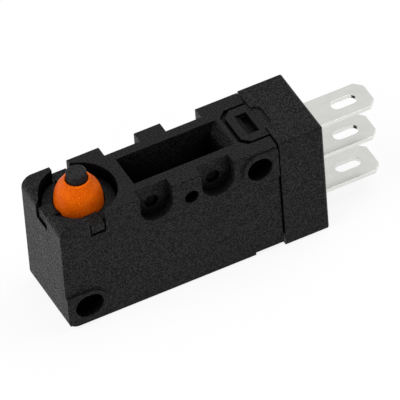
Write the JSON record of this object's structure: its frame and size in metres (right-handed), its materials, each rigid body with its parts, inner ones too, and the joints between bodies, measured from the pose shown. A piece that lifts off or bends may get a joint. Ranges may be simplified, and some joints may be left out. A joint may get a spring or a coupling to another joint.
{
  "type": "micro switch",
  "caption": "Sealed miniature snap-action switch: black case with mounting holes, pin plunger under an orange rubber boot, flat push-on blades at one end.",
  "frame": {"origin": "on the lower mounting hole's axis, halfway through the case from side face to side face", "axes": "+X runs from the plunger end to the terminals, +Y towards the back side face, +Z out of the top, the way the plunger stands"},
  "size_m": [0.0414, 0.0104, 0.0187],
  "materials": {
    "case_plastic": "fine-grained black glass-filled moulding",
    "plunger_plastic": "dark grey smooth moulding",
    "boot_rubber": "satin orange silicone rubber",
    "seal_rubber": "black sheet rubber",
    "resin": "black cast epoxy",
    "plated_brass": "silver-plated, satin",
    "contact_silver": "silver alloy, bright",
    "spring_copper": "bare copper-alloy spring sheet",
    "steel": "stainless, as stamped or drawn"
  },
  "bodies": {
    "case": {"housing": "case_plastic", "end_cover": "case_plastic", "boot_retainer": "case_plastic", "contact_base": "case_plastic", "cover_seal": "seal_rubber", "sealing_resin": "resin", "rubber_boot": "boot_rubber", "common_terminal": "plated_brass", "normally_open_terminal": "plated_brass", "normally_closed_terminal": "plated_brass", "normally_open_contact": "contact_silver", "normally_closed_contact": "contact_silver", "pivot_bracket": "plated_brass", "bracket_rivets": "plated_brass", "lever_pin": "steel"},
    "plunger": {"plunger": "plunger_plastic"},
    "lever": {"actuating_lever": "steel"},
    "arm": {"contact_arm": "spring_copper", "moving_contact": "contact_silver", "snap_spring": "steel"}
  },
  "joints": [
    {"name": "plunger_slide", "type": "slide", "parent": "case", "child": "plunger", "axis": [0, 0, -1], "range_m": [0, 0.0016], "stiffness_N_per_m": 1500, "springref_m": -0.0005, "deforming": ["rubber_boot"]},
    {"name": "lever_pivot", "type": "hinge", "parent": "case", "child": "lever", "pos_m": [0.008, 0, 0.0063], "axis": [0, -1, 0], "range_deg": [0, 15.2], "deforming": ["snap_spring"]},
    {"name": "arm_pivot", "type": "hinge", "parent": "case", "child": "arm", "pos_m": [0.0052, 0, 0.00455], "axis": [0, 1, 0], "range_deg": [0, 2.6]}
  ],
  "couplings": [
    {"joint": "lever_pivot", "follows": "plunger_slide", "rad_per_m": 165.8},
    {"joint": "arm_pivot", "follows": "plunger_slide", "rad_per_m": 28.36}
  ]
}
